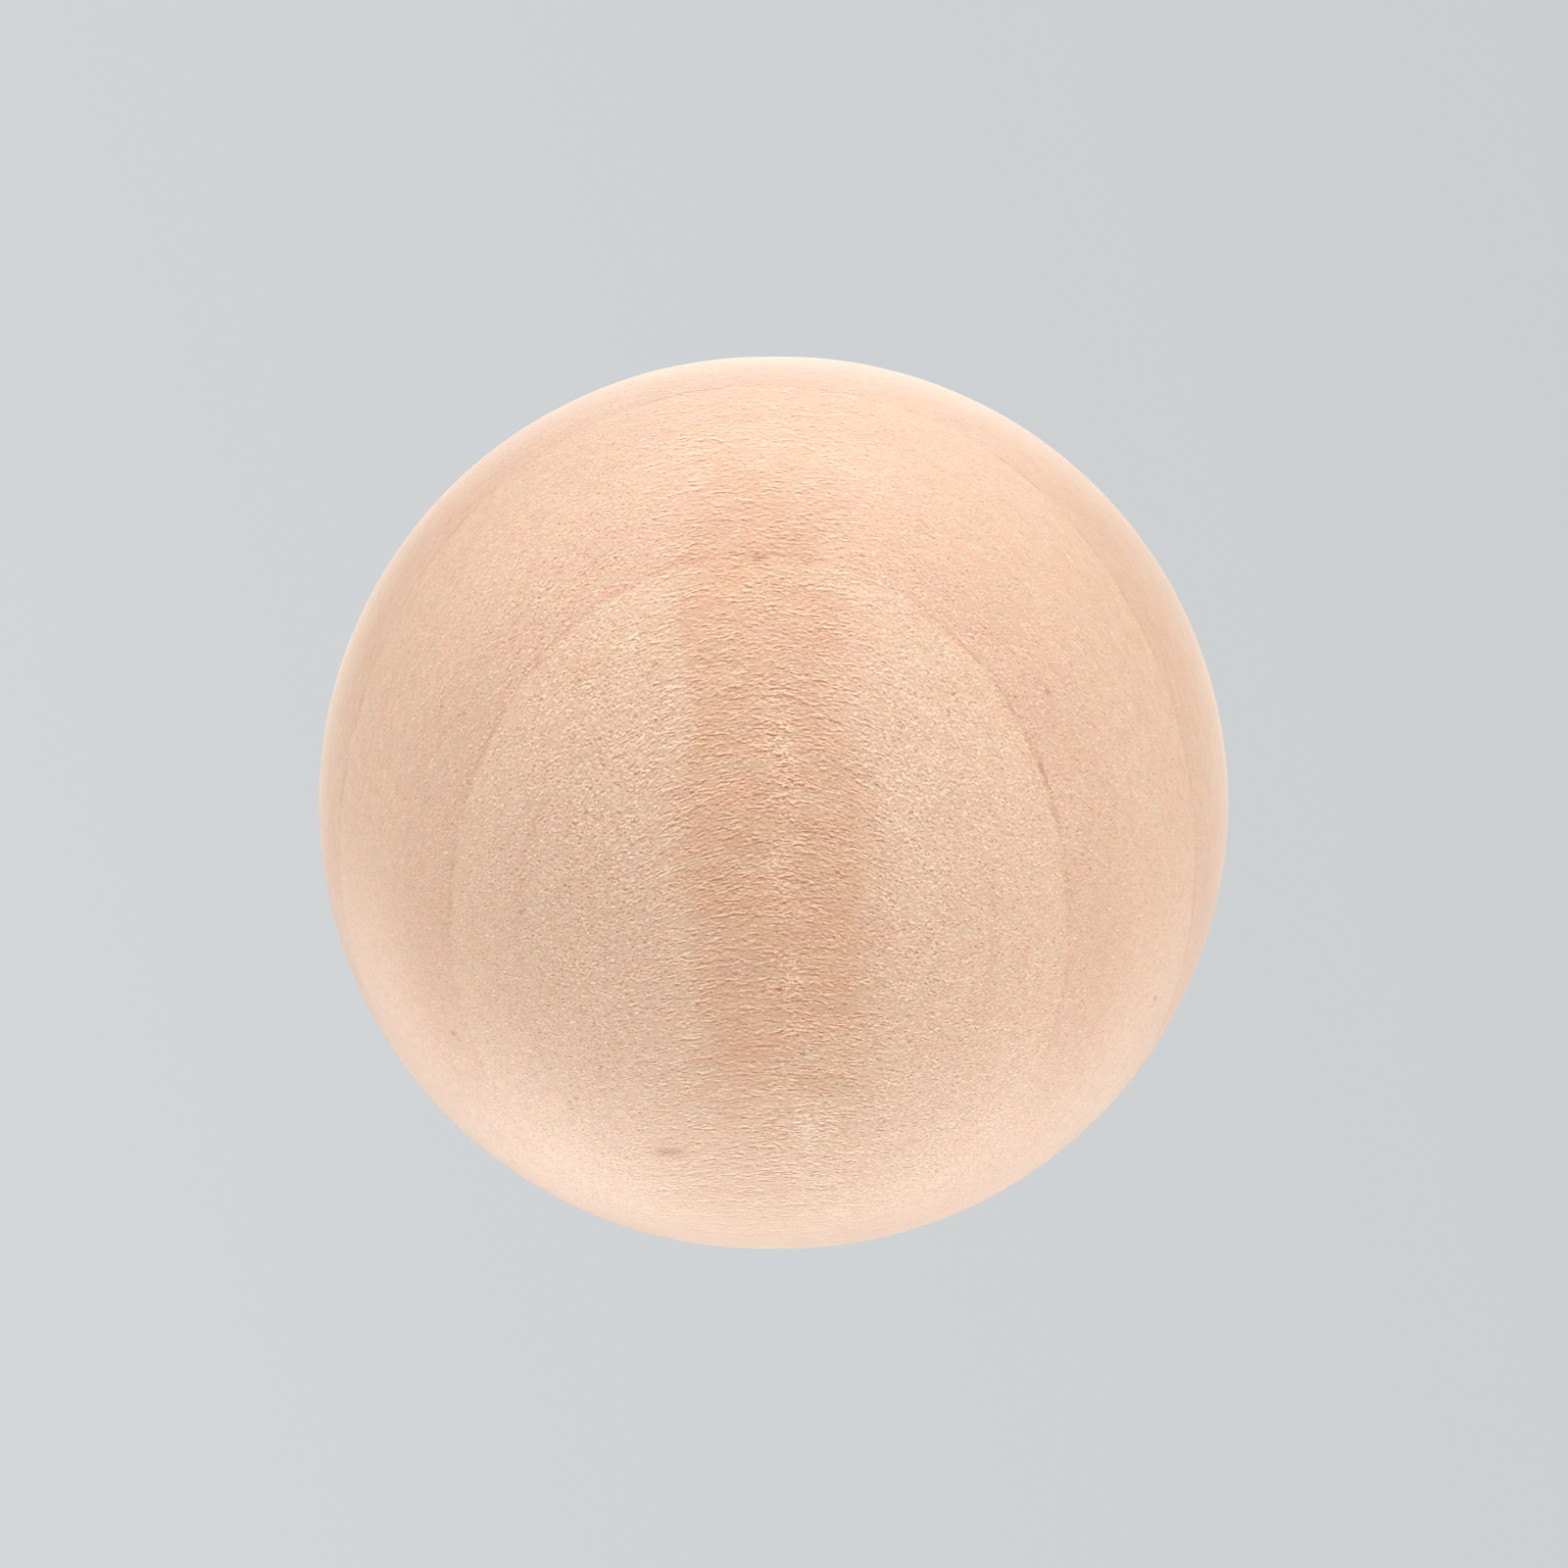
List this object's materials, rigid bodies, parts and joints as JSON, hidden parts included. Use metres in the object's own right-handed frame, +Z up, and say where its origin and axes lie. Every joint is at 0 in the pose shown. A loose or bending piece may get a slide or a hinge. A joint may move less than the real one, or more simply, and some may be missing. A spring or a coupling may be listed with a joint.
{
  "type": "wooden ball",
  "caption": "Solid turned ball of bare pale wood, grain along one axis, for crafts, knobs, games and desk use.",
  "frame": {"origin": "centre of the ball", "axes": "+X along the wood grain and the turning axis, +Z up, -Y towards the side that shows the closed growth ring"},
  "size_m": [0.025, 0.0246, 0.0246],
  "materials": {
    "bare_wood": "bare, finely sanded, matt with a faint satin sheen"
  },
  "bodies": {
    "root": {"ball": "bare_wood"}
  },
  "joints": []
}
